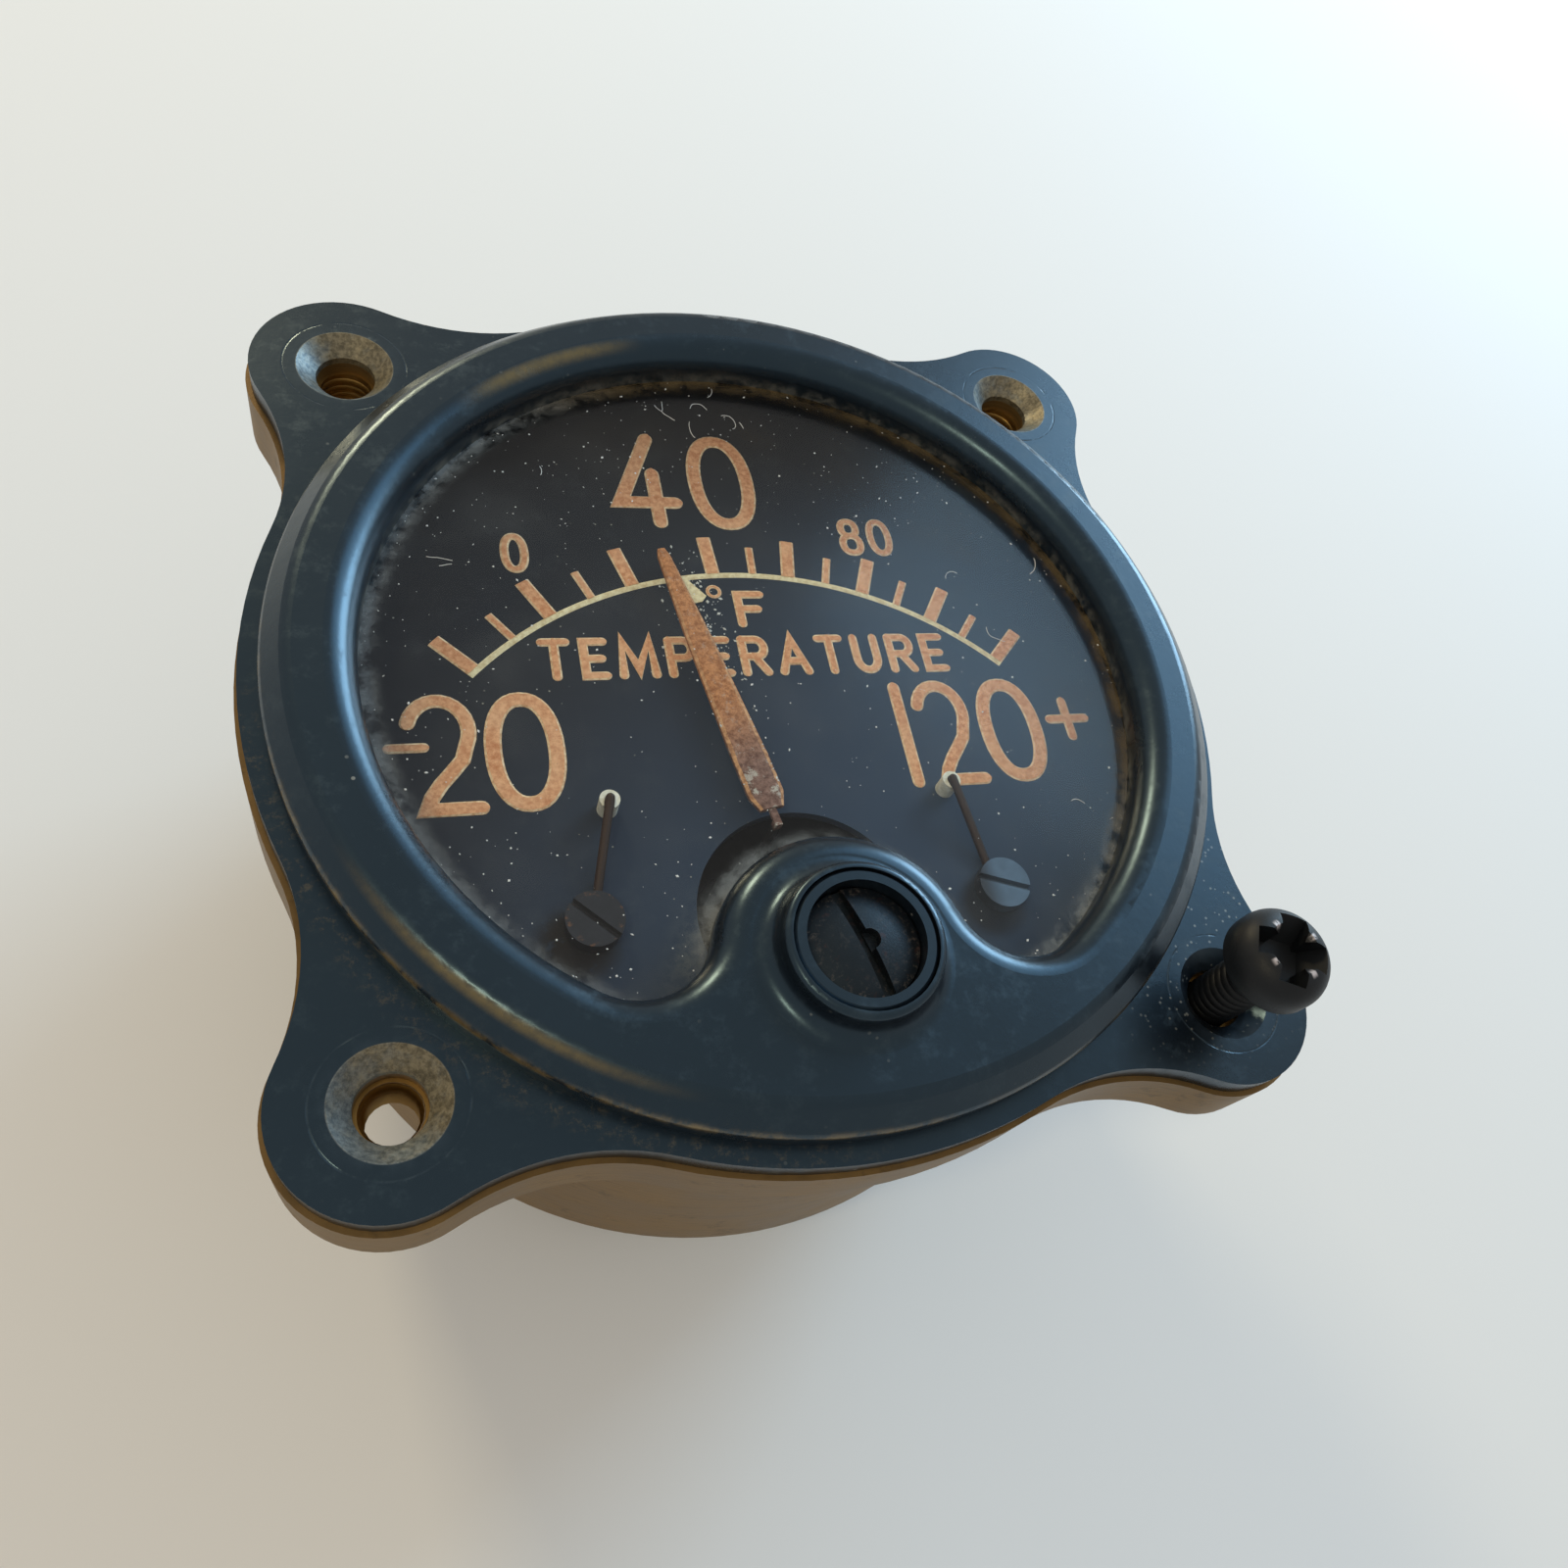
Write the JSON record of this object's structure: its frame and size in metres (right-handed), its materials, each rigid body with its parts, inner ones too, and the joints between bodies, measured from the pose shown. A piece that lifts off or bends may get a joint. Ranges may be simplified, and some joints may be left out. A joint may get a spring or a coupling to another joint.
{
  "type": "carburetor temperature gauge",
  "caption": "Round panel-mounted aircraft gauge with an eared flange, raised bezel, lobed glass window, swinging pointer and slotted zero adjuster.",
  "frame": {"origin": "centre of the flange's front face, on the axis of the round bezel", "axes": "+Z out of the dial towards the reader, +Y towards the top of the dial, +X to its right"},
  "size_m": [0.0808, 0.0808, 0.0616],
  "materials": {
    "black_cover": "black satin enamel, worn to metal on the step edge",
    "tan_case": "tarnished tan metal",
    "brass": "dull brass",
    "dark_steel": "blackened steel",
    "steel": "plain steel",
    "soft_iron": "machined iron",
    "clear_glass": "clear flat glass, dusty at the edge",
    "gasket_rubber": "soft black rubber",
    "dial_black": "matt black dial enamel",
    "pointer_paint": "aged salmon luminous paint",
    "sleeve_cream": "cream insulating sleeve",
    "copper_wire": "enamelled copper wire",
    "aluminium_plate": "plain aluminium",
    "phenolic": "dark brown moulded phenolic",
    "wire_cover": "lacquered cotton covering"
  },
  "bodies": {
    "gauge": {"adjuster_collar": "black_cover", "adjuster_spring_washer": "steel", "case_body": "tan_case", "core": "soft_iron", "core_support": "brass", "cover_glass": "clear_glass", "cover_screws": "steel", "dial_plate": "dial_black", "dial_posts": "brass", "dial_ring": "dial_black", "dial_screws": "dark_steel", "front_bridge": "brass", "front_bridge_screws": "steel", "front_cover": "black_cover", "front_hairspring": "brass", "front_jewel_screw": "brass", "glass_gasket": "gasket_rubber", "lead_wires": "wire_cover", "left_stop_sleeve": "sleeve_cream", "left_stop_wire": "dark_steel", "magnet": "soft_iron", "movement_plate": "aluminium_plate", "movement_screws": "steel", "pole_pieces": "soft_iron", "rear_bridge": "brass", "rear_bridge_screws": "steel", "rear_cover": "tan_case", "rear_cover_screws": "steel", "rear_hairspring": "brass", "rear_jewel_screw": "brass", "resistor_bobbins": "phenolic", "resistor_windings": "copper_wire", "right_stop_sleeve": "sleeve_cream", "right_stop_wire": "dark_steel", "terminal_board": "phenolic", "terminal_nuts": "brass", "terminal_studs": "brass", "terminal_washers": "brass", "threaded_inserts": "brass"},
    "moving_coil": {"coil_former": "aluminium_plate", "coil_winding": "copper_wire", "pivot_staffs": "steel", "pointer": "pointer_paint", "balance_weights": "brass"},
    "adjuster": {"zero_adjuster": "dark_steel", "adjuster_clip": "steel"},
    "lever": {"zero_lever": "brass"},
    "screw": {"mounting_screw": "dark_steel"}
  },
  "joints": [
    {"name": "pointer", "type": "hinge", "parent": "gauge", "child": "moving_coil", "pos_m": [0, -0.0199, -0.0145], "axis": [0, 0, 1], "range_deg": [-58.4, 36.6], "deforming": ["front_hairspring", "rear_hairspring"]},
    {"name": "zero_adjuster", "type": "hinge", "parent": "gauge", "child": "adjuster", "pos_m": [0, -0.0261, 0.003], "axis": [0, 0, 1], "range_deg": [-30, 30]},
    {"name": "zero_lever", "type": "hinge", "parent": "gauge", "child": "lever", "pos_m": [0, -0.0199, -0.005], "axis": [0, 0, 1], "range_deg": [-5.6, 5.6]},
    {"name": "mounting_screw", "type": "slide", "parent": "gauge", "child": "screw", "axis": [0, 0, 1], "range_m": [-0.0059, 0.0035]}
  ],
  "couplings": [
    {"joint": "zero_lever", "follows": "zero_adjuster", "ratio": -0.185}
  ]
}
